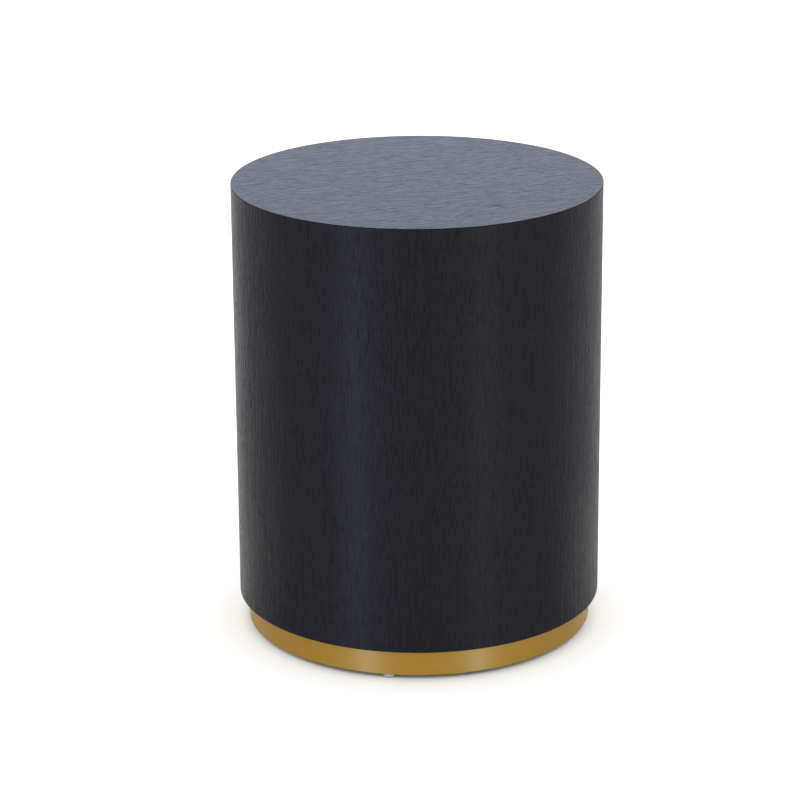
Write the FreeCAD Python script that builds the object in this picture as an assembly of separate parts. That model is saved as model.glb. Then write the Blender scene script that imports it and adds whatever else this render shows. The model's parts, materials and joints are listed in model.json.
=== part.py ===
import FreeCAD, Part
import math
import os

# Drum side table: a closed drum of bent plywood over ring formers and battens, faced in oak veneer,
# on a ring plinth with a brass-finish band, standing on nail-on glides.
# Millimetres. The origin is on the floor at the drum's axis, +Z is up and -Y faces the viewer.

# Overall sizes
drum_diameter = 400.0
drum_height = 465.0
plinth_setback = 10.0
plinth_height = 30.0
glide_height = 5.0

# Veneer and bending plywood
veneer_thickness = 0.6
wrap_thickness = 4.0
glue_line_thickness = 0.15
arris_width = 0.3
veneer_seam_gap = 0.1
wrap_seam_gap = 0.5
veneer_seam_angle = 90.0
outer_wrap_seam_angle = 135.0
inner_wrap_seam_angle = 45.0

# Boards
top_panel_thickness = 18.0
bottom_panel_thickness = 18.0
former_count = 2
former_thickness = 15.0
former_width = 45.0

# Battens and the notches that take them
batten_count = 8
batten_width = 32.0
batten_depth = 22.0
notch_side_clearance = 0.2

# Dowels between the battens and the panels
dowel_diameter = 8.0
dowel_depth_in_batten = 23.0
dowel_chamfer = 1.0
dowel_clearance = 0.05
dowel_hole_spare_depth = 1.0
board_thickness_past_dowel = 6.0

# Countersunk wood screws
screw_diameter = 4.0
screw_head_diameter = 8.0
screw_tip_length = 4.0
screw_clearance = 0.25
batten_screw_sink_depth = 1.0
former_width_past_screw = 4.0
board_thickness_past_screw = 5.0

# Plinth
plinth_ring_width = 60.0
band_thickness = 1.0
band_seam_gap = 0.2
band_seam_angle = 90.0
plinth_screw_count = 8
plinth_screw_first_angle = 22.5
counterbore_diameter = 9.0
counterbore_depth = 8.0

# Glides and their nails
glide_count = 4
glide_first_angle = 260.0
glide_diameter = 13.0
glide_edge_radius = 2.5
glide_inset_width = 0.5
nail_diameter = 2.5
nail_depth_in_ring = 14.0
nail_tip_length = 4.0
nail_head_diameter = 6.0
nail_head_thickness = 1.0
nail_head_cover_thickness = 2.0

# Levels, from the floor up
plinth_bottom = glide_height
drum_bottom = plinth_bottom + plinth_height
drum_top = drum_bottom + drum_height
wall_top = drum_top - veneer_thickness
top_panel_bottom = wall_top - top_panel_thickness
bottom_panel_top = drum_bottom + bottom_panel_thickness
batten_length = top_panel_bottom - bottom_panel_top

# Radii, from the outside in
drum_radius = drum_diameter / 2
veneer_inner_radius = drum_radius - veneer_thickness
outer_wrap_radius = veneer_inner_radius - glue_line_thickness
inner_wrap_radius = outer_wrap_radius - wrap_thickness - glue_line_thickness
frame_radius = inner_wrap_radius - wrap_thickness - glue_line_thickness
notch_radius = frame_radius - batten_depth
dowel_radius = frame_radius - batten_depth / 2
band_radius = drum_radius - plinth_setback
ring_radius = band_radius - band_thickness - glue_line_thickness
plinth_screw_radius = ring_radius - plinth_ring_width / 2
glide_radius = band_radius - glide_inset_width - glide_diameter / 2

# Lengths that follow from what a fastener passes through
dowel_depth_in_top = top_panel_thickness - board_thickness_past_dowel
dowel_depth_in_bottom = bottom_panel_thickness - board_thickness_past_dowel
screw_head_height = (screw_head_diameter - screw_diameter) / 2
screw_depth_in_former = former_width - batten_depth - former_width_past_screw
former_screw_length = batten_depth - batten_screw_sink_depth + screw_depth_in_former
screw_depth_in_panel = bottom_panel_thickness - board_thickness_past_screw
plinth_screw_length = plinth_height - counterbore_depth + screw_depth_in_panel

origin = FreeCAD.Vector(0, 0, 0)
up = FreeCAD.Vector(0, 0, 1)


def polar(radius, angle, height=0.0):
    turn = math.radians(angle)
    return FreeCAD.Vector(radius * math.cos(turn), radius * math.sin(turn), height)


def around(count, first_angle=0.0):
    return [first_angle + 360.0 * index / count for index in range(count)]


def outline(points):
    # Closed face in the XZ plane through (radius, height) points
    corners = [FreeCAD.Vector(radius, 0, height) for radius, height in points]
    return Part.Face(Part.makePolygon(corners + corners[:1]))


def revolved(points):
    return outline(points).revolve(origin, up, 360)


def rectangle(inner_radius, outer_radius, bottom, top):
    return [(inner_radius, bottom), (outer_radius, bottom), (outer_radius, top), (inner_radius, top)]


def tube(outer_radius, width, bottom, height):
    return revolved(rectangle(outer_radius - width, outer_radius, bottom, bottom + height))


def bent_strip(points, seam_radius, seam_angle, seam_gap):
    # A strip rolled almost all the way round, with its two ends facing each other across the seam
    gap_angle = math.degrees(seam_gap / seam_radius)
    section = outline(points)
    section.rotate(origin, up, seam_angle + gap_angle / 2)
    return section.revolve(origin, up, 360 - gap_angle)


def plain_strip(outer_radius, thickness, bottom, top, seam_angle, seam_gap):
    section = rectangle(outer_radius - thickness, outer_radius, bottom, top)
    return bent_strip(section, outer_radius, seam_angle, seam_gap)


def placed(shape, position, direction):
    # The shape's own +Z turned to the direction and its origin moved to the position
    moved = shape.copy()
    moved.Placement = FreeCAD.Placement(position, FreeCAD.Rotation(up, direction))
    return moved


# Fasteners, each along its own +Z


def wood_screw(length):
    # The head's flat face is at the origin and the tip points along +Z
    head_radius = screw_head_diameter / 2
    shank_radius = screw_diameter / 2
    return revolved([
        (0, 0),
        (head_radius, 0),
        (shank_radius, screw_head_height),
        (shank_radius, length - screw_tip_length),
        (0, length),
    ])


def screw_passage(length):
    # Clearance hole with a countersink that fits the head's cone
    head_radius = screw_head_diameter / 2
    hole_radius = screw_diameter / 2 + screw_clearance
    return revolved([
        (0, 0),
        (head_radius, 0),
        (hole_radius, head_radius - hole_radius),
        (hole_radius, length),
        (0, length),
    ])


def dowel(length):
    radius = dowel_diameter / 2
    return revolved([
        (0, 0),
        (radius - dowel_chamfer, 0),
        (radius, dowel_chamfer),
        (radius, length - dowel_chamfer),
        (radius - dowel_chamfer, length),
        (0, length),
    ])


def dowel_hole(depth):
    return Part.makeCylinder(dowel_diameter / 2 + dowel_clearance, depth + dowel_hole_spare_depth)


def glide_nail():
    # The shank starts at the glide's seat and goes up into the ring, with the head below it in the glide
    head_bottom = nail_head_cover_thickness - glide_height
    head_top = head_bottom + nail_head_thickness
    head_radius = nail_head_diameter / 2
    shank_radius = nail_diameter / 2
    return revolved([
        (0, head_bottom),
        (head_radius, head_bottom),
        (head_radius, head_top),
        (shank_radius, head_top),
        (shank_radius, nail_depth_in_ring - nail_tip_length),
        (0, nail_depth_in_ring),
    ])


# Where each fastener sits


def batten_angles():
    return around(batten_count)


def former_bottoms():
    bay = (batten_length - former_count * former_thickness) / (former_count + 1)
    return [bottom_panel_top + bay + index * (bay + former_thickness) for index in range(former_count)]


def former_screw_levels():
    return [bottom + former_thickness / 2 for bottom in former_bottoms()]


def former_screw_places(fastener):
    return [
        placed(fastener, polar(frame_radius - batten_screw_sink_depth, angle, level), polar(-1, angle))
        for level in former_screw_levels()
        for angle in batten_angles()
    ]


def plinth_screw_places(fastener):
    head_level = plinth_bottom + counterbore_depth
    return [
        placed(fastener, polar(plinth_screw_radius, angle, head_level), up)
        for angle in around(plinth_screw_count, plinth_screw_first_angle)
    ]


def glide_places(shape):
    return [
        placed(shape, polar(glide_radius, angle, plinth_bottom), up)
        for angle in around(glide_count, glide_first_angle)
    ]


def lower_dowel_places(shape):
    return [placed(shape, polar(dowel_radius, angle, bottom_panel_top), up) for angle in batten_angles()]


def upper_dowel_places(shape):
    return [placed(shape, polar(dowel_radius, angle, top_panel_bottom), up) for angle in batten_angles()]


def dowels_across(places, depth_below, depth_above):
    # One dowel at each place, reaching down and up from the face where a board meets a batten's end
    pins = places(dowel(depth_below + depth_above))
    return [pin.translated(FreeCAD.Vector(0, 0, -depth_below)) for pin in pins]


# The drum's skin


def top_veneer():
    return revolved([
        (0, wall_top),
        (drum_radius, wall_top),
        (drum_radius, drum_top - arris_width),
        (drum_radius - arris_width, drum_top),
        (0, drum_top),
    ])


def side_veneer():
    section = [
        (veneer_inner_radius, drum_bottom),
        (drum_radius - arris_width, drum_bottom),
        (drum_radius, drum_bottom + arris_width),
        (drum_radius, wall_top),
        (veneer_inner_radius, wall_top),
    ]
    return bent_strip(section, drum_radius, veneer_seam_angle, veneer_seam_gap)


def outer_wrap():
    return plain_strip(
        outer_wrap_radius, wrap_thickness, drum_bottom, wall_top, outer_wrap_seam_angle, wrap_seam_gap
    )


def inner_wrap():
    return plain_strip(
        inner_wrap_radius, wrap_thickness, drum_bottom, wall_top, inner_wrap_seam_angle, wrap_seam_gap
    )


# The frame inside the drum


def top_panel():
    disc = Part.makeCylinder(frame_radius, top_panel_thickness, FreeCAD.Vector(0, 0, top_panel_bottom))
    return disc.cut(upper_dowel_places(dowel_hole(dowel_depth_in_top)))


def bottom_panel():
    disc = Part.makeCylinder(frame_radius, bottom_panel_thickness, FreeCAD.Vector(0, 0, drum_bottom))
    hole_depth = dowel_depth_in_bottom + dowel_hole_spare_depth
    holes = [
        hole.translated(FreeCAD.Vector(0, 0, -hole_depth))
        for hole in lower_dowel_places(dowel_hole(dowel_depth_in_bottom))
    ]
    return disc.cut(holes + plinth_screw_places(wood_screw(plinth_screw_length)))


def former(bottom):
    ring = tube(frame_radius, former_width, bottom, former_thickness)
    notch_width = batten_width + 2 * notch_side_clearance
    notch = Part.makeBox(
        frame_radius, notch_width, former_thickness, FreeCAD.Vector(notch_radius, -notch_width / 2, bottom)
    )
    notches = [notch.rotated(origin, up, angle) for angle in batten_angles()]
    return ring.cut(notches + former_screw_places(wood_screw(former_screw_length)))


def batten(angle):
    # Straight inside and at the edges, with its outer face planed to the drum's curve
    half_width = batten_width / 2
    shoulder = math.sqrt(frame_radius**2 - half_width**2)
    inner_left = FreeCAD.Vector(notch_radius, -half_width, bottom_panel_top)
    inner_right = FreeCAD.Vector(notch_radius, half_width, bottom_panel_top)
    outer_left = FreeCAD.Vector(shoulder, -half_width, bottom_panel_top)
    outer_right = FreeCAD.Vector(shoulder, half_width, bottom_panel_top)
    crown = FreeCAD.Vector(frame_radius, 0, bottom_panel_top)
    edges = [
        Part.makeLine(inner_right, inner_left),
        Part.makeLine(inner_left, outer_left),
        Part.Arc(outer_left, crown, outer_right).toShape(),
        Part.makeLine(outer_right, inner_right),
    ]
    bar = Part.Face(Part.Wire(edges)).extrude(FreeCAD.Vector(0, 0, batten_length))
    lower_hole = dowel_hole(dowel_depth_in_batten)
    lower_hole.translate(FreeCAD.Vector(dowel_radius, 0, bottom_panel_top))
    upper_hole = dowel_hole(dowel_depth_in_batten)
    hole_depth = dowel_depth_in_batten + dowel_hole_spare_depth
    upper_hole.translate(FreeCAD.Vector(dowel_radius, 0, top_panel_bottom - hole_depth))
    bar = bar.cut([lower_hole, upper_hole])
    sink = Part.makeCylinder(screw_head_diameter / 2, batten_screw_sink_depth)
    for level in former_screw_levels():
        face = FreeCAD.Vector(frame_radius, 0, level)
        seat = FreeCAD.Vector(frame_radius - batten_screw_sink_depth, 0, level)
        inward = FreeCAD.Vector(-1, 0, 0)
        bar = bar.cut([placed(sink, face, inward), placed(screw_passage(batten_depth), seat, inward)])
    return bar.rotated(origin, up, angle)


def batten_dowels():
    lower = dowels_across(lower_dowel_places, dowel_depth_in_bottom, dowel_depth_in_batten)
    upper = dowels_across(upper_dowel_places, dowel_depth_in_batten, dowel_depth_in_top)
    return Part.makeCompound(lower + upper)


def former_screws():
    return Part.makeCompound(former_screw_places(wood_screw(former_screw_length)))


# The plinth and its glides


def plinth_ring():
    ring = tube(ring_radius, plinth_ring_width, plinth_bottom, plinth_height)
    counterbore = Part.makeCylinder(
        counterbore_diameter / 2, counterbore_depth, FreeCAD.Vector(0, 0, -counterbore_depth)
    )
    holes = plinth_screw_places(counterbore) + plinth_screw_places(screw_passage(plinth_height))
    return ring.cut(holes + glide_places(glide_nail()))


def plinth_band():
    return plain_strip(
        band_radius, band_thickness, plinth_bottom, drum_bottom, band_seam_angle, band_seam_gap
    )


def plinth_screws():
    return Part.makeCompound(plinth_screw_places(wood_screw(plinth_screw_length)))


def glide():
    # Flat seat at the top and a foot with a rounded edge, hollowed for the nail moulded into it
    radius = glide_diameter / 2
    foot_radius = radius - glide_edge_radius
    corner = glide_edge_radius * (1 - math.sqrt(0.5))
    seat_centre = FreeCAD.Vector(0, 0, 0)
    seat_rim = FreeCAD.Vector(radius, 0, 0)
    land = FreeCAD.Vector(radius, 0, glide_edge_radius - glide_height)
    middle = FreeCAD.Vector(radius - corner, 0, corner - glide_height)
    foot_rim = FreeCAD.Vector(foot_radius, 0, -glide_height)
    foot_centre = FreeCAD.Vector(0, 0, -glide_height)
    edges = [
        Part.makeLine(seat_centre, seat_rim),
        Part.makeLine(seat_rim, land),
        Part.Arc(land, middle, foot_rim).toShape(),
        Part.makeLine(foot_rim, foot_centre),
        Part.makeLine(foot_centre, seat_centre),
    ]
    return Part.Face(Part.Wire(edges)).revolve(origin, up, 360).cut(glide_nail())


def glide_nails():
    return Part.makeCompound(glide_places(glide_nail()))


def table_parts():
    parts = {
        "top_veneer": top_veneer(),
        "side_veneer": side_veneer(),
        "outer_ply_wrap": outer_wrap(),
        "inner_ply_wrap": inner_wrap(),
        "top_panel": top_panel(),
        "bottom_panel": bottom_panel(),
        "batten_dowels": batten_dowels(),
        "former_screws": former_screws(),
        "plinth_ring": plinth_ring(),
        "plinth_band": plinth_band(),
        "plinth_screws": plinth_screws(),
        "glide_nails": glide_nails(),
    }
    for number, bottom in enumerate(former_bottoms(), start=1):
        parts[f"ring_former_{number}"] = former(bottom)
    for number, angle in enumerate(batten_angles(), start=1):
        parts[f"batten_{number}"] = batten(angle)
    for number, foot in enumerate(glide_places(glide()), start=1):
        parts[f"glide_{number}"] = foot
    return parts


os.makedirs("parts", exist_ok=True)
for name, shape in table_parts().items():
    shape.exportStep(f"parts/{name}.step")
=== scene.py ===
import json
import math
import bmesh
import bpy
from mathutils import Matrix, Vector

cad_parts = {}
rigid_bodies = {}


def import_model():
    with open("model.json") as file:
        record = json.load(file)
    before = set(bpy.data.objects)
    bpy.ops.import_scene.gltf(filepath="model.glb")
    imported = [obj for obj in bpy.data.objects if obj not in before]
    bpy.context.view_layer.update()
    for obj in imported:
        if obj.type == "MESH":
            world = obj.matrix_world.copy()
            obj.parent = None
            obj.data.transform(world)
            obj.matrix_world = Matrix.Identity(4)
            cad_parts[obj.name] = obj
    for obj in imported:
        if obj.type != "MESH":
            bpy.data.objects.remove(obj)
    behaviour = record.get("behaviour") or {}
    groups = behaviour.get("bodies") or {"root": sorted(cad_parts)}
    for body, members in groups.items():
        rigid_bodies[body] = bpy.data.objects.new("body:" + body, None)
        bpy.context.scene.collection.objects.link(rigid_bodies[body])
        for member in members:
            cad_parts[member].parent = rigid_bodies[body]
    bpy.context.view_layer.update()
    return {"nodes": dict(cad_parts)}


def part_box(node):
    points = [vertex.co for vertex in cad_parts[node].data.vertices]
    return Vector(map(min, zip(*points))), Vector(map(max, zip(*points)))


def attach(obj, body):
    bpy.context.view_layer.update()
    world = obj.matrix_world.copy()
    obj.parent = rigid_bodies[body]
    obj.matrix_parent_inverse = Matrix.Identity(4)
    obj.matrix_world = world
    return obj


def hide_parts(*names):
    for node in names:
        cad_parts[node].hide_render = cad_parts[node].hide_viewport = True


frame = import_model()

# Drum side table in black oak veneer: smooth skins, band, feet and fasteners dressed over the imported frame.
# Metres and degrees, the frame's own axes: +Z up, the viewer on -Y, seams at the back on +Y.

axis = Vector((0, 0, 1))
middle = Vector((0, 0, 0))
fullTurn = 2 * math.pi
near = 1e-5                                  # two points closer than this are at the same place
weld = near / 10                             # points closer than this become one
print("frame loaded:", len(frame["nodes"]), "nodes")


# Reading the frame

def radii(node):
    reach = [vertex.co.xy.length for vertex in frame["nodes"][node].data.vertices]
    return min(reach), max(reach)


def levels(node):
    low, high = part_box(node)
    return low.z, high.z


def numbered(stem):                          # the nodes named by the stem and one digit
    return sorted(name for name in frame["nodes"] if name[:-1] == stem)


def toMiddle(node):                          # the move from the drum's axis to the node's own
    low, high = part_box(node)
    return Matrix.Translation(((low.x + high.x) / 2, (low.y + high.y) / 2, 0))


def polar(radius, degrees, height=0.0):
    turn = math.radians(degrees)
    return Vector((radius * math.cos(turn), radius * math.sin(turn), height))


def around(count, first=0.0):
    return [first + 360.0 * index / count for index in range(count)]


# Shader sums

class Wire:
    # one socket of a shader tree: sums and products of wires add Math nodes
    def __init__(self, tree, socket):
        self.tree = tree
        self.socket = socket

    def node(self, kind, settings=None, values=None, output=0):
        made = self.tree.nodes.new("ShaderNode" + kind)
        for name, value in (settings or {}).items():
            setattr(made, name, value)
        for name, value in (values or {}).items():
            if isinstance(value, Wire):
                self.tree.links.new(value.socket, made.inputs[name])
            else:
                made.inputs[name].default_value = value
        return Wire(self.tree, made.outputs[output] if made.outputs else None)

    def math(self, operation, first, second=0.0):
        return self.node("Math", {"operation": operation}, {0: first, 1: second})

    def __add__(self, other):
        return self.math("ADD", self, other)

    def __radd__(self, other):
        return self.math("ADD", other, self)

    def __sub__(self, other):
        return self.math("SUBTRACT", self, other)

    def __rsub__(self, other):
        return self.math("SUBTRACT", other, self)

    def __mul__(self, other):
        return self.math("MULTIPLY", self, other)

    def __rmul__(self, other):
        return self.math("MULTIPLY", other, self)

    def __truediv__(self, other):
        return self.math("DIVIDE", self, other)

    def __rtruediv__(self, other):
        return self.math("DIVIDE", other, self)

    def step(self, low, high):               # 0 below low, 1 above high, eased between
        sockets = {"Value": self, "From Min": low, "From Max": high}
        return self.node("MapRange", {"interpolation_type": "SMOOTHSTEP"}, sockets)

    def above(self, low):                    # 0 to 1 squeezed into low to 1
        return low + (1.0 - low) * self

    def blend(self, first, second):          # first colour at 0, second at 1
        return self.node("Mix", {"data_type": "RGBA"}, {0: self, 6: first, 7: second}, 2)

    def noise(self, place, size, detail=2.0, rough=0.5, layer=0.0):
        # clouds from 0 to 1, with a size along each of the place's axes
        spans = [where / span for where, span in zip(place, size)]
        if len(spans) == 2:                  # a flat pattern is one layer of the clouds
            spans.append(layer)
        point = self.node("CombineXYZ", {}, dict(zip("XYZ", spans)))
        sockets = {"Vector": point, "Scale": 1.0, "Detail": detail, "Roughness": rough}
        return self.node("TexNoise", {"noise_dimensions": "3D"}, sockets)

    def wave(self, spacing):                 # 0 to 1 and back over each spacing
        return 0.5 + 0.5 * self.math("SINE", self * (fullTurn / spacing))

    def bump(self, depth, strength=1.0):     # the wire times the depth is a height in metres
        return self.node("Bump", {}, {"Strength": strength, "Distance": depth, "Height": self})


def newFinish(name):
    finish = bpy.data.materials.new(name)
    finish.use_nodes = True
    finish.node_tree.nodes.clear()
    place = Wire(finish.node_tree, None).node("TexCoord", {}, {}, "Object")
    split = place.node("SeparateXYZ", {}, {0: place})
    return finish, [Wire(split.tree, socket) for socket in split.socket.node.outputs]


def closeFinish(wire, values):
    shader = wire.node("BsdfPrincipled", {}, values)
    wire.node("OutputMaterial", {}, {"Surface": shader})


def fromAxis(x, y):
    return x.math("SQRT", x * x + y * y)


def roundPlace(x, y, radius):                # run round the drum from the front, jumping at the back seam
    return x.math("ARCTAN2", x, -1.0 * y) * radius


# Shapes that several pieces share

def bentStrip(inner, outer, bottom, top, seam, seamGap, steps):
    mesh = bmesh.new()
    gap = seamGap / outer
    section = [(inner, 0, bottom), (outer, 0, bottom), (outer, 0, top), (inner, 0, top)]
    face = mesh.faces.new([mesh.verts.new(corner) for corner in section])
    start = Matrix.Rotation(math.radians(seam) + gap / 2, 3, "Z")
    bmesh.ops.rotate(mesh, cent=middle, matrix=start, verts=face.verts[:])
    geometry = face.verts[:] + face.edges[:] + [face]
    bmesh.ops.spin(mesh, geom=geometry, cent=middle, axis=axis, angle=fullTurn - gap, steps=steps)
    bmesh.ops.recalc_face_normals(mesh, faces=mesh.faces[:])
    return mesh


def turned(profile, steps):                  # a closed body from (radius, height) points, axis to axis
    mesh = bmesh.new()
    points = [mesh.verts.new((radius, 0, height)) for radius, height in profile]
    edges = [mesh.edges.new(pair) for pair in zip(points, points[1:])]
    bmesh.ops.spin(
        mesh, geom=points + edges, cent=middle, axis=axis, angle=fullTurn, steps=steps, use_merge=True
    )
    bmesh.ops.remove_doubles(mesh, verts=mesh.verts[:], dist=weld)
    bmesh.ops.recalc_face_normals(mesh, faces=mesh.faces[:])
    return mesh


def newPoints(made):
    return [part for part in made["geom"] if isinstance(part, bmesh.types.BMVert)]


def edgeRing(mesh, radius, steps, centre):
    made = bmesh.ops.create_circle(
        mesh, cap_ends=False, segments=steps, radius=radius, matrix=Matrix.Translation(centre)
    )
    return list(dict.fromkeys(edge for vertex in made["verts"] for edge in vertex.link_edges))


def drawOut(mesh, edges, rise, size=1.0, centre=middle):         # a wall from a ring of edges to a new ring
    made = bmesh.ops.extrude_edge_only(mesh, edges=edges)
    points = newPoints(made)
    bmesh.ops.scale(mesh, vec=(size, size, 1), space=Matrix.Translation(-centre), verts=points)
    bmesh.ops.translate(mesh, vec=(0, 0, rise), verts=points)
    return [part for part in made["geom"] if isinstance(part, bmesh.types.BMEdge) and part.is_boundary]


def onRim(radius, level):
    return lambda place: abs(place.xy.length - radius) < near and abs(place.z - level) < near


def flatFaces(mesh, level):
    return [face for face in mesh.faces if all(abs(vertex.co.z - level) < near for vertex in face.verts)]


def easeEdges(mesh, chosen, width, segments=3):
    edges = [edge for edge in mesh.edges if all(chosen(vertex.co) for vertex in edge.verts)]
    bmesh.ops.bevel(
        mesh, geom=edges, offset=width, offset_type="OFFSET", affect="EDGES",
        segments=segments, profile=0.5, material=-1,
    )


def ringAt(mesh, level):                     # a ring by a rounded edge keeps the wall's shading straight
    whole = mesh.verts[:] + mesh.edges[:] + mesh.faces[:]
    bmesh.ops.bisect_plane(mesh, geom=whole, plane_co=axis * level, plane_no=axis, dist=weld)


def meshData(mesh, name):
    data = bpy.data.meshes.new(name)
    mesh.to_mesh(data)
    mesh.free()
    return data


def copied(mesh, places):                    # one mesh with the shape at every place, instead of the shape
    shape = meshData(mesh, "shape")
    whole = bmesh.new()
    for place in places:
        whole.from_mesh(shape)
        fresh = whole.verts[-len(shape.vertices):]
        bmesh.ops.transform(whole, matrix=place, verts=fresh)
    bpy.data.meshes.remove(shape)
    return whole


def addObject(name, data):
    made = bpy.data.objects.new(name, data)
    bpy.context.scene.collection.objects.link(made)
    return made


def addPiece(mesh, name, finishes, nodes, sharp=30.0):
    data = meshData(mesh, name)
    data.shade_smooth()
    data.set_sharp_from_angle(angle=math.radians(sharp))
    for finish in finishes:
        data.materials.append(finish)
    piece = addObject(name, data)
    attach(piece, "root")
    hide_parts(*nodes)
    print("made", name, len(data.polygons), "faces")


def dressNodes(finish, nodes):
    for node in nodes:
        for place in frame["nodes"][node].material_slots:
            place.material = finish
    print("dressed", len(nodes), "nodes in", finish.name)


# Black oak veneer: stained open-pore oak under a thin satin lacquer

oak = {
    "stainDark": (0.0067, 0.0063, 0.0080, 1),
    "stainLight": (0.0085, 0.0080, 0.0101, 1),
    "poreStain": (0.0048, 0.0045, 0.0058, 1),
    "smallDrift": {"size": (0.09, 0.05), "detail": 1.0, "layer": 3.1}, "smallSway": 0.0016,
    "largeDrift": {"size": (0.33, 0.16), "detail": 1.0, "layer": 7.7}, "largeSway": 0.006,
    "pore": {"size": (0.0005, 0.011), "detail": 1.0, "layer": 0.5}, "poreCut": (0.52, 0.66),
    "flitch": {"size": (0.017, 0.5), "detail": 1.0, "layer": 6.5},
    "dashCut": (0.36, 0.62), "strayPores": 0.35, "poreDry": 0.6,
    "streakTone": 0.5, "dashTone": 0.35, "flitchTone": 0.15, "toneCut": (0.3, 0.7),
    "dashRelief": 0.19, "streakRelief": 0.10, "poreRelief": 0.06,
    "rough": 0.36, "poreRough": 0.2,
    "lacquerIor": 1.5, "lacquerRough": 0.32,
}


def oakVeneer(name, findGrain, leaf):
    finish, (x, y, z) = newFinish(name)
    across, along = findGrain(x, y, z)
    small = x.noise((along, across), **oak["smallDrift"]) - 0.5
    large = x.noise((along, across), **oak["largeDrift"]) - 0.5
    place = (across + small * oak["smallSway"] + large * oak["largeSway"], along)
    fine = x.noise(place, **oak["pore"])
    streak = x.noise(place, **leaf["streak"])
    dash = x.noise(place, **leaf["dash"])
    flitch = x.noise(place, **oak["flitch"])
    pores = fine.step(*oak["poreCut"]) * dash.step(*oak["dashCut"]).above(oak["strayPores"])
    tone = oak["streakTone"] * streak + oak["dashTone"] * dash + oak["flitchTone"] * flitch
    stain = tone.step(*oak["toneCut"]).blend(oak["stainDark"], oak["stainLight"])
    film = (1.0 + leaf["contrast"] * (tone - 0.5)) * (1.0 - oak["poreDry"] * pores) * leaf["lacquer"]
    relief = oak["dashRelief"] * dash + oak["streakRelief"] * streak - oak["poreRelief"] * pores
    closeFinish(x, {
        "Base Color": pores.blend(stain, oak["poreStain"]),
        "Roughness": oak["rough"] + oak["poreRough"] * pores,
        "Specular IOR Level": leaf["gloss"],
        "Coat Weight": film,
        "Coat IOR": oak["lacquerIor"],
        "Coat Roughness": oak["lacquerRough"],
        "Normal": relief.bump(leaf["reliefUnit"]),
    })
    return finish


# Side veneer: one leaf bent round the drum, with its butt seam at the back

sideVeneer = {
    "node": "side_veneer", "steps": 288, "seam": 90.0, "seamGap": 0.0001,
    "edgeRound": 0.0003, "shadeRing": 0.0015,
    "dash": {"size": (0.0026, 0.060), "layer": 4.5},
    "streak": {"size": (0.0014, 0.012), "rough": 0.6, "layer": 2.5},
    "lacquer": 0.06, "gloss": 0.032, "contrast": 0.8, "reliefUnit": 0.0056,
}


def makeSideVeneer():
    inner, outer = radii(sideVeneer["node"])
    bottom, top = levels(sideVeneer["node"])
    mesh = bentStrip(
        inner, outer, bottom, top, sideVeneer["seam"], sideVeneer["seamGap"], sideVeneer["steps"]
    )
    easeEdges(mesh, onRim(outer, bottom), sideVeneer["edgeRound"])
    ringAt(mesh, bottom + sideVeneer["shadeRing"])

    def upright(x, y, z):
        return roundPlace(x, y, outer), z

    finish = oakVeneer("blackOakUpright", upright, sideVeneer)
    addPiece(mesh, "sideVeneerLeaf", [finish], [sideVeneer["node"]])


makeSideVeneer()


# Top veneer: a round sheet over the panel and the wall's edges, its own cut edge matt

topVeneer = {
    "node": "top_veneer", "steps": 288, "edgeRound": 0.0003, "shadeRing": 0.0015,
    "edgeTilt": 0.99, "grainTurn": 20.0,
    "dash": {"size": (0.0028, 0.020), "layer": 4.5},
    "streak": {"size": (0.0026, 0.070), "rough": 0.6, "layer": 2.5},
    "lacquer": 0.08, "gloss": 0.182, "contrast": 2.0, "reliefUnit": 0.0043,
    "cutFibre": {"size": (0.0006, 0.0006, 0.0002)},
    "cutRough": 0.75, "cutFibreRough": 0.2, "cutGloss": 0.01,
}


def cutEdge():
    finish, (x, y, z) = newFinish("blackOakCutEdge")
    fibre = x.noise((x, y, z), **topVeneer["cutFibre"])
    closeFinish(x, {
        "Base Color": fibre.blend(oak["poreStain"], oak["stainDark"]),
        "Roughness": topVeneer["cutRough"] + topVeneer["cutFibreRough"] * fibre,
        "Specular IOR Level": topVeneer["cutGloss"],
    })
    return finish


def roundSheet(outer, bottom, top, steps):
    mesh = bmesh.new()
    bmesh.ops.create_circle(mesh, cap_ends=True, segments=steps, radius=outer)
    bmesh.ops.translate(mesh, vec=(0, 0, bottom), verts=mesh.verts[:])
    raised = newPoints(bmesh.ops.extrude_face_region(mesh, geom=mesh.faces[:]))
    bmesh.ops.translate(mesh, vec=(0, 0, top - bottom), verts=raised)
    bmesh.ops.recalc_face_normals(mesh, faces=mesh.faces[:])
    return mesh


def makeTopVeneer():
    outer = radii(topVeneer["node"])[1]
    bottom, top = levels(topVeneer["node"])
    mesh = roundSheet(outer, bottom, top, topVeneer["steps"])
    easeEdges(mesh, onRim(outer, top), topVeneer["edgeRound"])
    bmesh.ops.inset_region(mesh, faces=flatFaces(mesh, top), thickness=topVeneer["shadeRing"])
    for face in mesh.faces:
        face.material_index = int(abs(face.normal.z) < topVeneer["edgeTilt"])
    turn = math.radians(topVeneer["grainTurn"])

    def lengthways(x, y, z):
        return y * math.cos(turn) - x * math.sin(turn), x * math.cos(turn) + y * math.sin(turn)

    finishes = [oakVeneer("blackOakLengthways", lengthways, topVeneer), cutEdge()]
    addPiece(mesh, "topVeneerSheet", finishes, [topVeneer["node"]])


makeTopVeneer()


# Bent plywood wraps: three plies across each, with the lower edge sealed black

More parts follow.
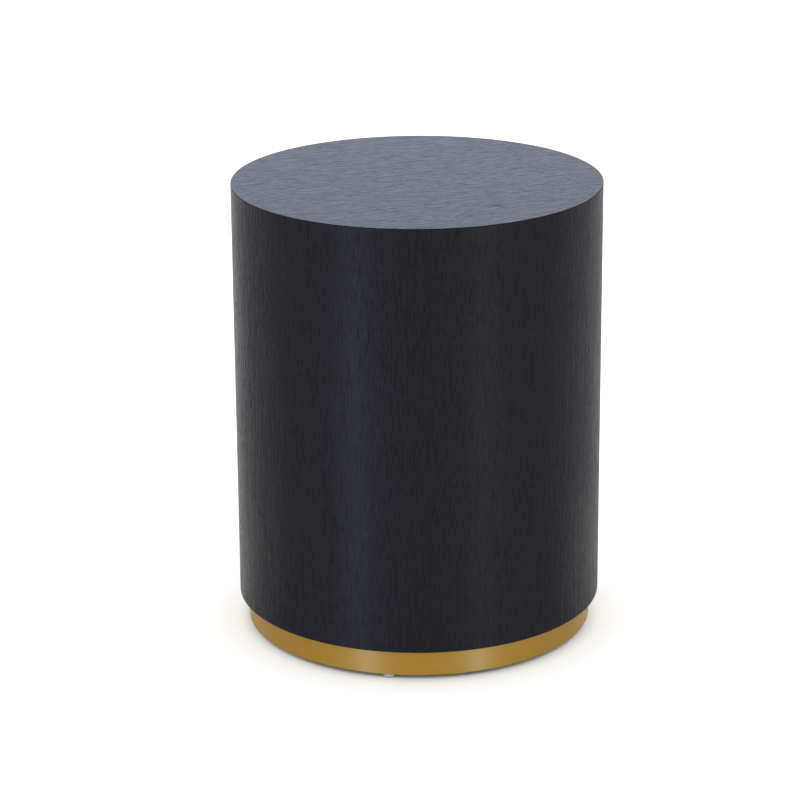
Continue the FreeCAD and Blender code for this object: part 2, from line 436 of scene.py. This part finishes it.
wraps = {
    "steps": 192, "seamGap": 0.0005,
    "outer": {"node": "outer_ply_wrap", "name": "outerPlyWrap", "seam": 135.0},
    "inner": {"node": "inner_ply_wrap", "name": "innerPlyWrap", "seam": 45.0},
    "coreShare": 0.24, "coreBlur": 0.01, "glueShare": 0.05, "sealHeight": 0.0005,
    "pale": (0.42, 0.27, 0.145, 1), "core": (0.30, 0.18, 0.095, 1),
    "glueLine": (0.13, 0.08, 0.05, 1), "seal": (0.006, 0.0058, 0.0066, 1),
    "grain": {"size": (0.0012, 0.09), "detail": 3.0, "layer": 1.5},
    "pore": {"size": (0.0004, 0.006), "detail": 1.0, "layer": 4.5}, "poreCut": (0.56, 0.7),
    "grainTone": 0.75, "coreTone": 0.5, "glueTone": 0.8, "poreTone": 0.35, "sealCover": 0.9,
    "rough": 0.72, "sealSmooth": 0.12, "poreRough": 0.1, "gloss": 0.25,
    "relief": 0.00008, "poreRelief": 0.6, "glueRelief": 0.5,
}


def bendingPly(name, inner, outer, bottom):
    finish, (x, y, z) = newFinish(name)
    place = (roundPlace(x, y, outer), z)
    grain = x.noise(place, **wraps["grain"])
    pores = x.noise(place, **wraps["pore"]).step(*wraps["poreCut"])
    depth = (fromAxis(x, y) - (inner + outer) / 2) / (outer - inner)
    off = x.math("ABSOLUTE", depth)          # 0 at the core's middle, 0.5 at the faces
    coreEdge = wraps["coreShare"] / 2
    core = 1.0 - off.step(coreEdge - wraps["coreBlur"], coreEdge + wraps["coreBlur"])
    glue = 1.0 - x.math("ABSOLUTE", off - coreEdge).step(wraps["glueShare"] / 2, wraps["glueShare"])
    seal = 1.0 - z.step(bottom + wraps["sealHeight"] / 2, bottom + wraps["sealHeight"])
    wood = (wraps["grainTone"] * grain + wraps["coreTone"] * core).blend(wraps["pale"], wraps["core"])
    bare = (wraps["glueTone"] * glue + wraps["poreTone"] * pores).blend(wood, wraps["glueLine"])
    relief = grain - wraps["poreRelief"] * pores - wraps["glueRelief"] * glue
    closeFinish(x, {
        "Base Color": (seal * grain.above(wraps["sealCover"])).blend(bare, wraps["seal"]),
        "Roughness": wraps["rough"] - wraps["sealSmooth"] * seal + wraps["poreRough"] * pores,
        "Specular IOR Level": wraps["gloss"],
        "Normal": relief.bump(wraps["relief"]),
    })
    return finish


def makeWrap(wrap):
    inner, outer = radii(wrap["node"])
    bottom, top = levels(wrap["node"])
    mesh = bentStrip(inner, outer, bottom, top, wrap["seam"], wraps["seamGap"], wraps["steps"])
    finish = bendingPly(wrap["name"] + "Ply", inner, outer, bottom)
    addPiece(mesh, wrap["name"], [finish], [wrap["node"]])


makeWrap(wraps["outer"])
makeWrap(wraps["inner"])


# Panels: raw fibreboard, which the plinth ring is cut from too

panels = {
    "nodes": ["top_panel", "bottom_panel"],
    "pale": (0.36, 0.235, 0.135, 1), "dark": (0.23, 0.14, 0.078, 1), "shiveDark": (0.13, 0.075, 0.04, 1),
    "cloud": {"size": (0.014, 0.014, 0.006), "detail": 3.0},
    "felt": {"size": (0.0009, 0.0009, 0.00045), "detail": 3.0, "rough": 0.65},
    "fibreX": {"size": (0.0035, 0.0006, 0.0006)},
    "fibreY": {"size": (0.0006, 0.0035, 0.0006)},
    "shive": {"size": (0.0016, 0.0016, 0.0008), "detail": 1.0}, "shiveCut": (0.66, 0.74), "shiveTone": 0.7,
    "cloudTone": 0.35, "feltTone": 0.35, "fibreTone": 0.15, "toneCut": (0.3, 0.7),
    "rough": 0.78, "feltRough": 0.15, "gloss": 0.2, "relief": 0.00012, "fibreRelief": 0.5,
}


def fibreboard():
    finish, (x, y, z) = newFinish("rawFibreboard")
    place = (x, y, z)
    cloud = x.noise(place, **panels["cloud"])
    felt = x.noise(place, **panels["felt"])
    fibre = x.noise(place, **panels["fibreX"]) + x.noise(place, **panels["fibreY"])
    shive = x.noise(place, **panels["shive"]).step(*panels["shiveCut"])
    tone = panels["cloudTone"] * cloud + panels["feltTone"] * felt + panels["fibreTone"] * fibre
    colour = tone.step(*panels["toneCut"]).blend(panels["dark"], panels["pale"])
    closeFinish(x, {
        "Base Color": (panels["shiveTone"] * shive).blend(colour, panels["shiveDark"]),
        "Roughness": panels["rough"] + panels["feltRough"] * felt,
        "Specular IOR Level": panels["gloss"],
        "Normal": (felt + panels["fibreRelief"] * fibre).bump(panels["relief"]),
    })
    return finish


rawFibreboard = fibreboard()
dressNodes(rawFibreboard, panels["nodes"])


# Ring formers: birch plywood, with every other ply turned

formers = {
    "stem": "ring_former_", "plyThick": 0.0015, "glueBelow": (0.03, 0.09), "glueAbove": (0.93, 0.99),
    "pale": (0.62, 0.45, 0.26, 1), "dark": (0.47, 0.31, 0.165, 1), "glueLine": (0.12, 0.07, 0.04, 1),
    "lengthwise": {"size": (0.05, 0.0014), "detail": 3.0},
    "endwise": {"size": (0.0008, 0.0008, 0.0008)},
    "grainTone": 0.6, "crossTone": 0.35, "glueTone": 0.7,
    "rough": 0.6, "endRough": 0.2, "gloss": 0.3, "relief": 0.0001, "glueRelief": 0.5,
}


def birchPly():
    finish, (x, y, z) = newFinish("birchPlywood")
    ply = x.math("FLOOR", z / formers["plyThick"])
    within = x.math("FRACT", z / formers["plyThick"])
    crossed = x.math("FRACT", ply / 2.0) * 2.0                   # 1 in every other ply
    lengthwise = x.noise((x, y), layer=ply, **formers["lengthwise"])
    endwise = x.noise((x, y, z), **formers["endwise"])
    grain = lengthwise * (1.0 - crossed) + endwise * crossed
    glue = 1.0 - within.step(*formers["glueBelow"]) + within.step(*formers["glueAbove"])
    tone = formers["grainTone"] * grain + formers["crossTone"] * crossed
    colour = tone.blend(formers["pale"], formers["dark"])
    closeFinish(x, {
        "Base Color": (formers["glueTone"] * glue).blend(colour, formers["glueLine"]),
        "Roughness": formers["rough"] + formers["endRough"] * endwise,
        "Specular IOR Level": formers["gloss"],
        "Normal": (grain - formers["glueRelief"] * glue).bump(formers["relief"]),
    })
    return finish


dressNodes(birchPly(), numbered(formers["stem"]))


# Pine battens: upright grain cut from round a pith beside the drum

battens = {
    "stem": "batten_", "pith": (0.31, 0.11), "ringWide": 0.0031, "lateCut": (0.45, 1.0),
    "early": (0.66, 0.46, 0.24, 1), "late": (0.45, 0.25, 0.10, 1), "resinDark": (0.30, 0.15, 0.055, 1),
    "waver": {"size": (0.03, 0.03, 0.22)}, "waverReach": 0.006,
    "fibre": {"size": (0.0005, 0.0005, 0.02)},
    "resin": {"size": (0.0009, 0.0009, 0.012), "detail": 1.0}, "resinCut": (0.7, 0.78), "resinTone": 0.6,
    "lateTone": 0.75, "fibreTone": 0.35,
    "rough": 0.52, "fibreRough": 0.12, "lateSmooth": 0.08, "gloss": 0.35,
    "relief": 0.00006, "lateRelief": 0.6,
}


def planedPine():
    finish, (x, y, z) = newFinish("planedPine")
    place = (x, y, z)
    waver = x.noise(place, **battens["waver"]) - 0.5
    reach = fromAxis(x - battens["pith"][0], y - battens["pith"][1]) + waver * battens["waverReach"]
    late = reach.wave(battens["ringWide"]).step(*battens["lateCut"])
    fibre = x.noise(place, **battens["fibre"])
    resin = x.noise(place, **battens["resin"]).step(*battens["resinCut"])
    tone = battens["lateTone"] * late + battens["fibreTone"] * (fibre - 0.5)
    colour = tone.blend(battens["early"], battens["late"])
    closeFinish(x, {
        "Base Color": (battens["resinTone"] * resin).blend(colour, battens["resinDark"]),
        "Roughness": battens["rough"] + battens["fibreRough"] * fibre - battens["lateSmooth"] * late,
        "Specular IOR Level": battens["gloss"],
        "Normal": (fibre + battens["lateRelief"] * late).bump(battens["relief"]),
    })
    return finish


dressNodes(planedPine(), numbered(battens["stem"]))


# Beech dowels: fluted pins between the battens' ends and the panels

dowel = {
    "node": "batten_dowels", "count": 8, "radius": 0.004, "length": 0.035, "chamfer": 0.001,
    "flutes": 16, "fluteDepth": 0.0003, "sharp": 50.0,
    "pale": (0.52, 0.33, 0.185, 1), "ray": (0.34, 0.19, 0.095, 1),
    "fibre": {"size": (0.0004, 0.0004, 0.008)},
    "rays": {"size": (0.0005, 0.0005, 0.0022), "detail": 1.0}, "rayCut": (0.6, 0.68),
    "fibreTone": 0.3, "rayTone": 0.6,
    "rough": 0.58, "fibreRough": 0.15, "gloss": 0.3, "relief": 0.00005, "rayRelief": 0.4,
}


def beech():
    finish, (x, y, z) = newFinish("flutedBeech")
    fibre = x.noise((x, y, z), **dowel["fibre"])
    rays = x.noise((x, y, z), **dowel["rays"]).step(*dowel["rayCut"])
    tone = dowel["fibreTone"] * fibre + dowel["rayTone"] * rays
    closeFinish(x, {
        "Base Color": tone.blend(dowel["pale"], dowel["ray"]),
        "Roughness": dowel["rough"] + dowel["fibreRough"] * fibre,
        "Specular IOR Level": dowel["gloss"],
        "Normal": (fibre - dowel["rayRelief"] * rays).bump(dowel["relief"]),
    })
    return finish


def flutedPin():
    radius, chamfer = dowel["radius"], dowel["chamfer"]
    mesh = bmesh.new()
    made = bmesh.ops.create_circle(mesh, cap_ends=True, segments=2 * dowel["flutes"], radius=radius)
    hollow = 1 - dowel["fluteDepth"] / radius
    bmesh.ops.scale(mesh, vec=(hollow, hollow, 1), verts=made["verts"][::2])
    tip = newPoints(bmesh.ops.extrude_face_region(mesh, geom=mesh.faces[:]))
    bmesh.ops.translate(mesh, vec=axis * dowel["length"], verts=tip)
    for face in [face for face in mesh.faces if len(face.verts) > 4]:        # the two ends
        bmesh.ops.inset_region(mesh, faces=[face], thickness=chamfer)
        level = face.calc_center_median().z
        inward = chamfer if level < near else -chamfer
        end = [vertex for vertex in mesh.verts if abs(vertex.co.z - level) < near]
        rim = [vertex for vertex in end if vertex.co.xy.length > radius - chamfer / 2]
        bmesh.ops.translate(mesh, vec=axis * inward, verts=rim)
    bmesh.ops.recalc_face_normals(mesh, faces=mesh.faces[:])
    return mesh


def makeDowels():
    low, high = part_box(dowel["node"])
    reach = high.x - dowel["radius"]
    places = []
    for start in (low.z, high.z - dowel["length"]):
        places += [Matrix.Translation(polar(reach, turn, start)) for turn in around(dowel["count"])]
    mesh = copied(flutedPin(), places)
    addPiece(mesh, "battenDowels", [beech()], [dowel["node"]], dowel["sharp"])


makeDowels()


# Bright zinc on the screws and the nails

zinc = {
    "bright": (0.56, 0.58, 0.61, 1), "dull": (0.40, 0.41, 0.43, 1), "warm": (0.55, 0.52, 0.44, 1),
    "mottle": {"size": (0.0018, 0.0018, 0.0018), "detail": 3.0}, "mottleCut": (0.3, 0.7),
    "tint": {"size": (0.005, 0.005, 0.005), "detail": 1.0}, "tintCut": (0.55, 0.75), "tintTone": 0.5,
    "metal": 1.0, "rough": 0.28, "mottleRough": 0.22, "relief": 0.00001,
}


def zincPlate():
    finish, (x, y, z) = newFinish("zincPlate")
    mottle = x.noise((x, y, z), **zinc["mottle"])
    tint = x.noise((x, y, z), **zinc["tint"]).step(*zinc["tintCut"])
    plate = mottle.step(*zinc["mottleCut"]).blend(zinc["bright"], zinc["dull"])
    closeFinish(x, {
        "Base Color": (zinc["tintTone"] * tint).blend(plate, zinc["warm"]),
        "Metallic": zinc["metal"],
        "Roughness": zinc["rough"] + zinc["mottleRough"] * mottle,
        "Normal": mottle.bump(zinc["relief"]),
    })
    return finish


brightZinc = zincPlate()


# Countersunk wood screws: cross recess, plain neck and a rolled thread

screw = {
    "headRadius": 0.004, "rimShare": 0.97, "rimDrop": 0.0002, "steps": 32, "sharp": 40.0,
    "shankRadius": 0.002, "neckLength": 0.006, "neckTaper": 0.0008, "coreRadius": 0.0014, "tipLength": 0.004,
    "threadPitch": 0.0018, "threadWide": 0.0007, "threadRoot": 0.9, "threadSteps": 16,
    "recessLong": 0.0044, "recessWide": 0.0011, "recessDeep": 0.0016, "recessTaper": 0.55,
}
headLevel = 0.0                              # where a screw's head is made, with its tip along +Z


def cutCross(mesh):
    long, wide = screw["recessLong"] / 2, screw["recessWide"] / 2
    for normal in (Vector((1, 0, 0)), Vector((0, 1, 0))):
        for reach in (-long, -wide, wide, long):
            flat = flatFaces(mesh, headLevel)
            parts = dict.fromkeys(part for face in flat for part in [face] + face.edges[:] + face.verts[:])
            bmesh.ops.bisect_plane(
                mesh, geom=list(parts), plane_co=normal * reach, plane_no=normal, dist=weld
            )
    chosen = []
    for face in flatFaces(mesh, headLevel):
        place = face.calc_center_median()
        spans = sorted((abs(place.x), abs(place.y)))
        if spans[0] < wide and spans[1] < long:
            chosen.append(face)
    points = newPoints(bmesh.ops.extrude_face_region(mesh, geom=chosen))
    bmesh.ops.delete(mesh, geom=[face for face in chosen if face.is_valid], context="FACES")
    taper = screw["recessTaper"]
    bmesh.ops.scale(mesh, vec=(taper, taper, 1), verts=points)
    bmesh.ops.translate(mesh, vec=axis * screw["recessDeep"], verts=points)


def threadRidge(mesh, length):
    start = screw["neckLength"]
    run = length - start - screw["tipLength"]
    turns = run / screw["threadPitch"]
    half = screw["threadWide"] / 2
    root, crest = screw["coreRadius"] * screw["threadRoot"], screw["shankRadius"]
    section = [(root, 0, start - half), (crest, 0, start), (root, 0, start + half)]
    face = mesh.faces.new([mesh.verts.new(corner) for corner in section])
    geometry = face.verts[:] + face.edges[:] + [face]
    steps = round(turns * screw["threadSteps"])
    bmesh.ops.spin(
        mesh, geom=geometry, cent=middle, axis=axis, angle=fullTurn * turns, steps=steps,
        dvec=axis * (run / steps),
    )


def woodScrew(length):
    head, shank, core = screw["headRadius"], screw["shankRadius"], screw["coreRadius"]
    neck = screw["neckLength"]
    profile = [
        (0, headLevel), (head * screw["rimShare"], headLevel), (head, screw["rimDrop"]),
        (shank, head - shank), (shank, neck - screw["neckTaper"]),
        (core, neck), (core, length - screw["tipLength"]), (0, length),
    ]
    mesh = turned(profile, screw["steps"])
    bmesh.ops.dissolve_faces(mesh, faces=flatFaces(mesh, headLevel))
    cutCross(mesh)
    threadRidge(mesh, length)
    bmesh.ops.recalc_face_normals(mesh, faces=mesh.faces[:])
    return mesh


# Former screws: two rows, through the battens into the ring formers

formerScrews = {"node": "former_screws", "count": 8, "length": 0.040}


def makeFormerScrews():
    low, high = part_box(formerScrews["node"])
    places = []
    for row in (low.z + screw["headRadius"], high.z - screw["headRadius"]):
        for turn in around(formerScrews["count"]):
            inward = axis.rotation_difference(polar(-1, turn)).to_matrix().to_4x4()
            places.append(Matrix.Translation(polar(high.x, turn, row)) @ inward)
    mesh = copied(woodScrew(formerScrews["length"]), places)
    nodes = [formerScrews["node"]]
    addPiece(mesh, "formerScrews", [brightZinc], nodes, screw["sharp"])


makeFormerScrews()


# Plinth ring: fibreboard with a counterbore and countersink for each of its screws, sealed black below

plinth = {
    "node": "plinth_ring", "steps": 256, "arris": 0.0005, "arrisSegments": 2, "sharp": 20.0,
    "boreRadius": 0.0045, "boreDepth": 0.008, "boreSteps": 32, "shankHole": 0.00225,
    "seal": (0.0040, 0.0039, 0.0043, 1), "sealWorn": (0.0095, 0.0085, 0.0075, 1),
    "roller": {"size": (0.0016, 0.0016, 0.0016), "detail": 3.0},
    "wear": {"size": (0.02, 0.02, 0.02)}, "wearCut": (0.5, 0.75),
    "wearTone": 0.6, "rollerTone": 0.2,
    "rough": 0.6, "rollerRough": 0.2, "gloss": 0.2, "relief": 0.00008,
}
plinthScrews = {"node": "plinth_screws", "count": 8, "first": 22.5, "twist": 3.0}


def blackSeal():
    finish, (x, y, z) = newFinish("blackSeal")
    roller = x.noise((x, y, z), **plinth["roller"])
    worn = x.noise((x, y, z), **plinth["wear"]).step(*plinth["wearCut"])
    tone = plinth["wearTone"] * worn + plinth["rollerTone"] * roller
    closeFinish(x, {
        "Base Color": tone.blend(plinth["seal"], plinth["sealWorn"]),
        "Roughness": plinth["rough"] + plinth["rollerRough"] * roller,
        "Specular IOR Level": plinth["gloss"],
        "Normal": roller.bump(plinth["relief"]),
    })
    return finish


def screwTurns():
    return around(plinthScrews["count"], plinthScrews["first"])


def makePlinthRing():
    inner, outer = radii(plinth["node"])
    bottom, top = levels(plinth["node"])
    mesh = bmesh.new()
    rims = [edgeRing(mesh, radius, plinth["steps"], axis * bottom) for radius in (inner, outer)]
    centres = [polar((inner + outer) / 2, turn, bottom) for turn in screwTurns()]
    bores = [edgeRing(mesh, plinth["boreRadius"], plinth["boreSteps"], centre) for centre in centres]
    bmesh.ops.triangle_fill(mesh, use_beauty=True, edges=mesh.edges[:])
    raised = [edge for rim in rims for edge in drawOut(mesh, rim, top - bottom)]
    head, hole = screw["headRadius"], plinth["shankHole"]
    for centre, bore in zip(centres, bores):
        wall = drawOut(mesh, bore, plinth["boreDepth"])
        seat = drawOut(mesh, wall, 0.0, head / plinth["boreRadius"], centre)
        cone = drawOut(mesh, seat, head - hole, hole / head, centre)
        raised += drawOut(mesh, cone, top - bottom - plinth["boreDepth"] - head + hole)
    bmesh.ops.triangle_fill(mesh, use_beauty=True, edges=raised)
    bmesh.ops.recalc_face_normals(mesh, faces=mesh.faces[:])
    easeEdges(mesh, onRim(inner, bottom), plinth["arris"], plinth["arrisSegments"])
    sealed = bottom + plinth["arris"] + near
    for face in mesh.faces:                  # rolled on before the screw holes were bored
        face.material_index = int(all(vertex.co.z < sealed for vertex in face.verts))
    finishes = [rawFibreboard, blackSeal()]
    addPiece(mesh, "plinthRing", finishes, [plinth["node"]], plinth["sharp"])


def makePlinthScrews():
    reach = sum(radii(plinth["node"])) / 2
    bottom, top = levels(plinthScrews["node"])
    places = []
    for turn in screwTurns():                # twisted, so that no two recesses line up
        twist = Matrix.Rotation(math.radians(turn * plinthScrews["twist"]), 4, "Z")
        places.append(Matrix.Translation(polar(reach, turn, bottom)) @ twist)
    mesh = copied(woodScrew(top - bottom), places)
    nodes = [plinthScrews["node"]]
    addPiece(mesh, "plinthScrews", [brightZinc], nodes, screw["sharp"])


makePlinthRing()
makePlinthScrews()


# Plinth band: a satin brass-finish strip bent round the plinth ring

band = {
    "node": "plinth_band", "steps": 288, "seam": 90.0, "seamGap": 0.0002,
    "edgeRound": 0.00025, "shadeRing": 0.001,
    "colour": (0.302, 0.163, 0.0065, 1), "paleColour": (0.336, 0.184, 0.011, 1),
    "rimTint": (0.55, 0.43, 0.24, 1), "metal": 1.0,
    "brushing": {"size": (0.00022, 0.05), "layer": 1.5},
    "cloud": {"size": (0.035, 0.02), "layer": 3.5},
    "brushTone": 0.55, "cloudTone": 0.45, "toneCut": (0.3, 0.7),
    "rough": 0.75, "mottleRough": 0.1, "lacquer": 0.6, "lacquerRough": 0.36, "relief": 0.000002,
}


def brassFinish(radius):
    finish, (x, y, z) = newFinish("satinBrass")
    run = roundPlace(x, y, radius)
    brushing = x.noise((z, run), **band["brushing"])
    cloud = x.noise((run, z), **band["cloud"])
    mottle = band["brushTone"] * brushing + band["cloudTone"] * cloud
    closeFinish(x, {
        "Base Color": mottle.step(*band["toneCut"]).blend(band["colour"], band["paleColour"]),
        "Metallic": band["metal"],
        "Specular Tint": band["rimTint"],
        "Roughness": band["rough"] + band["mottleRough"] * (mottle - 0.5),
        "Coat Weight": band["lacquer"],
        "Coat Roughness": band["lacquerRough"],
        "Normal": brushing.bump(band["relief"]),
    })
    return finish


def makeBand():
    inner, outer = radii(band["node"])
    bottom, top = levels(band["node"])
    mesh = bentStrip(inner, outer, bottom, top, band["seam"], band["seamGap"], band["steps"])
    easeEdges(mesh, onRim(outer, bottom), band["edgeRound"])
    easeEdges(mesh, onRim(outer, top), band["edgeRound"])
    ringAt(mesh, bottom + band["shadeRing"])
    ringAt(mesh, top - band["shadeRing"])
    addPiece(mesh, "plinthBandStrip", [brassFinish(outer)], [band["node"]])


makeBand()


# Glides: milky plastic feet with a rounded edge, each moulded round a nail's head

glide = {
    "stem": "glide_", "steps": 48, "footRound": 0.0025, "footSegments": 6, "seatRound": 0.0003,
    "colour": (0.46, 0.475, 0.465, 1), "paleColour": (0.54, 0.555, 0.545, 1),
    "cloud": {"size": (0.002, 0.002, 0.002)}, "cloudCut": (0.3, 0.7),
    "rough": 0.28, "cloudRough": 0.1, "clear": 0.45, "bending": 1.49,
    "relief": 0.00002, "reliefStrength": 0.3,
}
nail = {
    "node": "glide_nails", "radius": 0.00125, "headRadius": 0.003, "headThick": 0.001, "tipLength": 0.004,
    "rimShare": 0.9, "rimRise": 0.3, "steps": 24, "slack": 0.00001,
}


def milkyPlastic():
    finish, (x, y, z) = newFinish("milkyPlastic")
    cloud = x.noise((x, y, z), **glide["cloud"])
    closeFinish(x, {
        "Base Color": cloud.step(*glide["cloudCut"]).blend(glide["colour"], glide["paleColour"]),
        "Roughness": glide["rough"] + glide["cloudRough"] * cloud,
        "Transmission Weight": glide["clear"],
        "IOR": glide["bending"],
        "Normal": cloud.bump(glide["relief"], glide["reliefStrength"]),
    })
    return finish


def footRounding(radius, bottom):            # the quarter round at the foot's edge
    size, segments = glide["footRound"], glide["footSegments"]
    points = []
    for index in range(segments + 1):
        turn = math.pi / 2 * index / segments
        points.append((radius - size + size * math.sin(turn), bottom + size - size * math.cos(turn)))
    return points


def makeGlides():
    finish = milkyPlastic()
    nailBottom = levels(nail["node"])[0] - nail["slack"]
    nailHead = nail["headRadius"] + nail["slack"]
    nailShank = nail["radius"] + nail["slack"]
    headTop = nailBottom + nail["headThick"] + 2 * nail["slack"]
    for node in numbered(glide["stem"]):
        low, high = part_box(node)
        radius = (high.x - low.x) / 2
        hollow = [(nailShank, high.z), (nailShank, headTop), (nailHead, headTop), (nailHead, nailBottom)]
        seat = [(radius, high.z - glide["seatRound"]), (radius - glide["seatRound"], high.z)]
        profile = [(0, low.z)] + footRounding(radius, low.z) + seat + hollow + [(0, nailBottom)]
        mesh = copied(turned(profile, glide["steps"]), [toMiddle(node)])
        addPiece(mesh, "glideFoot" + node[-1], [finish], [node])


def makeNails():
    bottom, top = levels(nail["node"])
    head, shank, thick = nail["headRadius"], nail["radius"], nail["headThick"]
    profile = [
        (0, bottom), (head * nail["rimShare"], bottom), (head, bottom + thick * nail["rimRise"]),
        (head, bottom + thick), (shank, bottom + thick), (shank, top - nail["tipLength"]), (0, top),
    ]
    places = [toMiddle(node) for node in numbered(glide["stem"])]
    mesh = copied(turned(profile, nail["steps"]), places)
    addPiece(mesh, "glideNails", [brightZinc], [nail["node"]])


makeGlides()
makeNails()


# Floor and room

studio = {
    "floorHalf": 30.0, "floorColour": (0.985, 0.900, 0.722, 1), "floorPale": (0.995, 0.910, 0.732, 1),
    "grit": {"size": (0.004, 0.004), "detail": 3.0, "layer": 0.5}, "floorRough": 0.85, "floorGloss": 0.1,
    "roomLight": 1.6, "roomColour": (0.92, 1.01, 1.24, 1),
}


def makeFloor():
    finish, (x, y, z) = newFinish("paleFloor")
    grit = x.noise((x, y), **studio["grit"])
    closeFinish(x, {
        "Base Color": grit.blend(studio["floorColour"], studio["floorPale"]),
        "Roughness": studio["floorRough"],
        "Specular IOR Level": studio["floorGloss"],
    })
    mesh = bmesh.new()
    bmesh.ops.create_grid(mesh, x_segments=1, y_segments=1, size=studio["floorHalf"])
    data = meshData(mesh, "paleFloor")
    data.materials.append(finish)
    floor = addObject("paleFloor", data)


def makeRoom():
    world = bpy.data.worlds.new("paleRoom")
    world.use_nodes = True
    bpy.context.scene.world = world
    room = world.node_tree.nodes["Background"]
    room.inputs["Color"].default_value = studio["roomColour"]
    room.inputs["Strength"].default_value = studio["roomLight"]


# Gloss lights: they show in gloss alone, each facing a spot on its node, with turns to the left below zero

sideLamp = {
    "node": "side_veneer", "taker": "sideVeneerLeaf",
    "height": 0.26, "gap": 1.5, "drop": 19.5, "wide": 0.5, "tall": 1.0,
}
lowLamp = {
    "node": "side_veneer", "taker": "sideVeneerLeaf", "tint": (1.0, 0.93, 0.85),
    "height": 0.07, "gap": 0.45, "drop": 19.5, "wide": 0.12, "tall": 0.12,
}
edgePanel = {
    "node": "side_veneer", "tint": (1.0, 0.94, 0.82),
    "height": 0.26, "gap": 0.03, "drop": 0.0, "wide": 0.03, "tall": 0.48,
}
bandLamp = {
    "node": "plinth_band", "taker": "plinthBandStrip", "tint": (0.87, 1.04, 0.88),
    "height": 0.02, "gap": 1.5, "drop": 23.7, "wide": 0.15, "tall": 0.3,
}
glossLights = {
    "sideGlossLeft": {**sideLamp, "turn": -19.4, "glow": 8.4, "tint": (0.88, 0.95, 1.25)},
    "sideGlossRight": {**sideLamp, "turn": 20.8, "glow": 6.2, "tint": (0.97, 0.96, 1.08)},
    "edgeGlossLeft": {**edgePanel, "turn": -80.0, "glow": 0.52},
    "lowGlossLeft": {**lowLamp, "turn": -70.0, "glow": 3.4},
    "lowGlossRight": {**lowLamp, "turn": 70.0, "glow": 2.0},
    "bandGlossLeft": {**bandLamp, "turn": -17.7, "glow": 39.0},
    "bandGlossRight": {**bandLamp, "turn": 20.0, "glow": 36.0},
}


def addGlossLight(name, lamp):
    front = -90.0
    spot = polar(radii(lamp["node"])[1], front + lamp["turn"], lamp["height"])
    drop = math.radians(lamp["drop"])
    mirrored = front + 2 * lamp["turn"]      # the turn at which the spot mirrors a view from the front
    away = polar(math.cos(drop), mirrored, -math.sin(drop))
    data = bpy.data.lights.new(name, "AREA")
    data.shape = "RECTANGLE"
    data.size = lamp["wide"]
    data.size_y = lamp["tall"]
    data.color = lamp["tint"]
    data.energy = lamp["glow"] * math.pi * data.size * data.size_y
    panel = addObject(name, data)
    panel.location = spot + away * lamp["gap"]
    panel.rotation_euler = (-away).to_track_quat("-Z", "Y").to_euler()
    panel.visible_camera = False
    panel.visible_diffuse = False
    if "taker" in lamp:                      # only this piece takes the light, and only it blocks it
        group = bpy.data.collections.new(name + "Taker")
        group.objects.link(bpy.data.objects[lamp["taker"]])
        panel.light_linking.receiver_collection = group
        panel.light_linking.blocker_collection = group


# Camera: the photograph's own view

camera = {
    "place": (0.0, -3.1173, 1.3032), "lens": 134.66, "sensor": 36.0,
    "down": 18.6592, "pan": -0.3630, "roll": -0.3936,
}


def makeCamera():
    down, pan, roll = (math.radians(camera[name]) for name in ("down", "pan", "roll"))
    ahead = Vector((math.sin(pan) * math.cos(down), math.cos(pan) * math.cos(down), -math.sin(down)))
    level = Vector((math.cos(pan), -math.sin(pan), 0))
    upright = level.cross(ahead)
    right = math.cos(roll) * level + math.sin(roll) * upright
    above = math.cos(roll) * upright - math.sin(roll) * level
    data = bpy.data.cameras.new("photoCamera")
    data.lens = camera["lens"]
    data.sensor_width = camera["sensor"]
    eye = addObject("photoCamera", data)
    facing = Matrix((right, above, -ahead)).transposed().to_4x4()
    eye.matrix_world = Matrix.Translation(camera["place"]) @ facing
    bpy.context.scene.camera = eye


makeFloor()
makeRoom()
for lightName, lightSettings in glossLights.items():
    addGlossLight(lightName, lightSettings)
makeCamera()
bpy.context.scene.view_settings.view_transform = "Standard"
print("floor, light and camera set")
